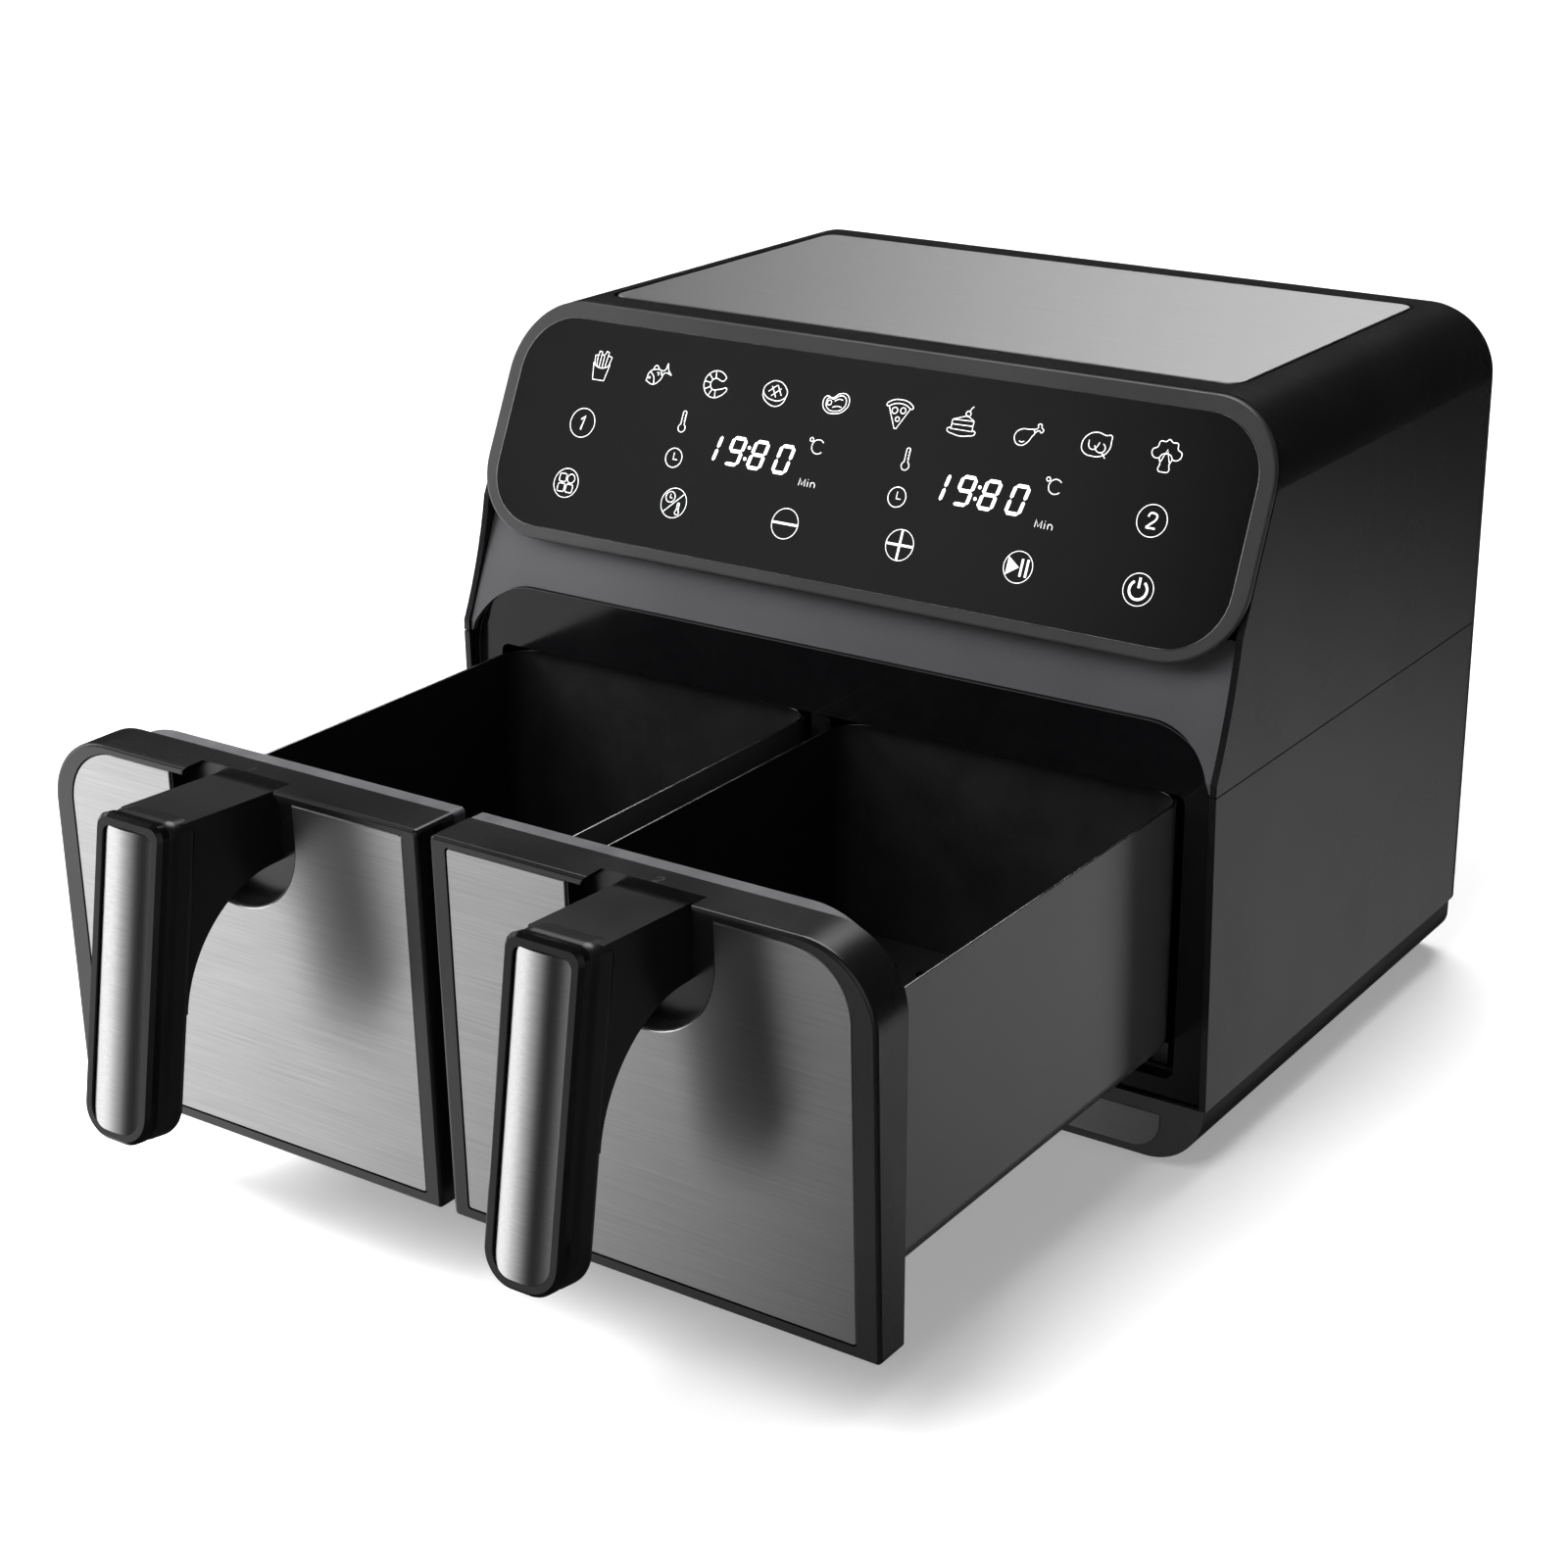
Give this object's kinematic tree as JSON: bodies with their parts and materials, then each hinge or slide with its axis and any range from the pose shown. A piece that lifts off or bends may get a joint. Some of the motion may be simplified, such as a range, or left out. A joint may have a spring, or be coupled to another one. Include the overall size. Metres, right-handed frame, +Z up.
{
  "type": "air fryer",
  "caption": "Countertop air fryer with side-by-side pull-out drawers, a sloped glass touch panel, brushed steel drawer faces and hanging grip handles.",
  "frame": {"origin": "centre of the whole footprint with both drawers standing open, on the surface under the feet", "axes": "+Z up, -Y the way the drawers pull out, +X to the right when facing the appliance"},
  "size_m": [0.39, 0.6303, 0.324],
  "materials": {
    "shell_plastic": "moulded ABS, satin",
    "tray_plastic": "moulded ABS, fine matt grain",
    "arch_plastic": "moulded ABS, gloss",
    "bezel_plastic": "moulded ABS, satin, dark grey",
    "touch_glass": "tempered glass, printed black on the back",
    "brushed_steel": "stainless steel, horizontal grain",
    "liner_steel": "aluminised sheet steel",
    "heater_steel": "sheathed tubular element",
    "guard_steel": "plated",
    "nonstick_steel": "satin grey outside, black non-stick inside",
    "nonstick_plate": "non-stick coated",
    "silicone": "moulded",
    "front_plastic": "moulded ABS, semi-gloss",
    "cover_plastic": "moulded nylon, grey",
    "handle_plastic": "moulded, satin",
    "trim_gloss": "moulded, high gloss",
    "screw_steel": "zinc plated",
    "motor_metal": "laminated core and coil",
    "shaft_steel": "ground",
    "fan_aluminium": "pressed",
    "board": "glass-fibre circuit board",
    "display_plastic": "LED display block",
    "inner_plastic": "heat-resistant nylon"
  },
  "bodies": {
    "housing": {"upper_shell": "shell_plastic", "lower_shell": "shell_plastic", "base_tray": "tray_plastic", "base_trim_strip": "brushed_steel", "top_plate": "brushed_steel", "housing_screws": "screw_steel", "foot_1": "silicone", "foot_2": "silicone", "foot_3": "silicone", "foot_4": "silicone", "control_bezel": "bezel_plastic", "touch_glass": "touch_glass", "control_board": "board", "display_modules": "display_plastic", "cove_panel": "bezel_plastic", "drawer_arch": "arch_plastic", "divider_post": "arch_plastic", "chamber_left": "liner_steel", "chamber_right": "liner_steel", "heater_left": "heater_steel", "heater_right": "heater_steel", "heater_guard_left": "guard_steel", "heater_guard_right": "guard_steel", "motor_left": "motor_metal", "motor_right": "motor_metal", "slide_rails": "inner_plastic", "temperature_probes": "screw_steel", "thermal_cutouts": "screw_steel", "drawer_sensors": "inner_plastic", "power_board": "board", "rear_vent_cover": "inner_plastic", "cord_gland": "inner_plastic"},
    "drawer_left": {"drawer_front_left": "front_plastic", "steel_face_left": "brushed_steel", "back_cover_left": "cover_plastic", "pan_left": "nonstick_steel", "handle_left": "handle_plastic", "handle_trim_left": "trim_gloss", "handle_face_left": "brushed_steel", "handle_screws_left": "screw_steel"},
    "crisper_left": {"crisper_plate_left": "nonstick_plate", "crisper_bumpers_left": "silicone"},
    "fan_left": {"motor_shaft_left": "shaft_steel", "hot_fan_left": "fan_aluminium", "cooling_fan_left": "fan_aluminium"},
    "drawer_right": {"drawer_front_right": "front_plastic", "steel_face_right": "brushed_steel", "back_cover_right": "cover_plastic", "pan_right": "nonstick_steel", "handle_right": "handle_plastic", "handle_trim_right": "trim_gloss", "handle_face_right": "brushed_steel", "handle_screws_right": "screw_steel"},
    "crisper_right": {"crisper_plate_right": "nonstick_plate", "crisper_bumpers_right": "silicone"},
    "fan_right": {"motor_shaft_right": "shaft_steel", "hot_fan_right": "fan_aluminium", "cooling_fan_right": "fan_aluminium"}
  },
  "joints": [
    {"name": "drawer_left_slide", "type": "slide", "parent": "housing", "child": "drawer_left", "axis": [0, -1, 0], "range_m": [-0.235, 0.03]},
    {"name": "crisper_left_lift", "type": "slide", "parent": "drawer_left", "child": "crisper_left", "axis": [0, 0, 1], "range_m": [0, 0.08]},
    {"name": "fan_left_spin", "type": "hinge", "parent": "housing", "child": "fan_left", "pos_m": [-0.092, 0.163, 0.25], "axis": [0, 0, 1], "continuous": true},
    {"name": "drawer_right_slide", "type": "slide", "parent": "housing", "child": "drawer_right", "axis": [0, -1, 0], "range_m": [-0.235, 0.03]},
    {"name": "crisper_right_lift", "type": "slide", "parent": "drawer_right", "child": "crisper_right", "axis": [0, 0, 1], "range_m": [0, 0.08]},
    {"name": "fan_right_spin", "type": "hinge", "parent": "housing", "child": "fan_right", "pos_m": [0.092, 0.163, 0.25], "axis": [0, 0, 1], "continuous": true}
  ]
}
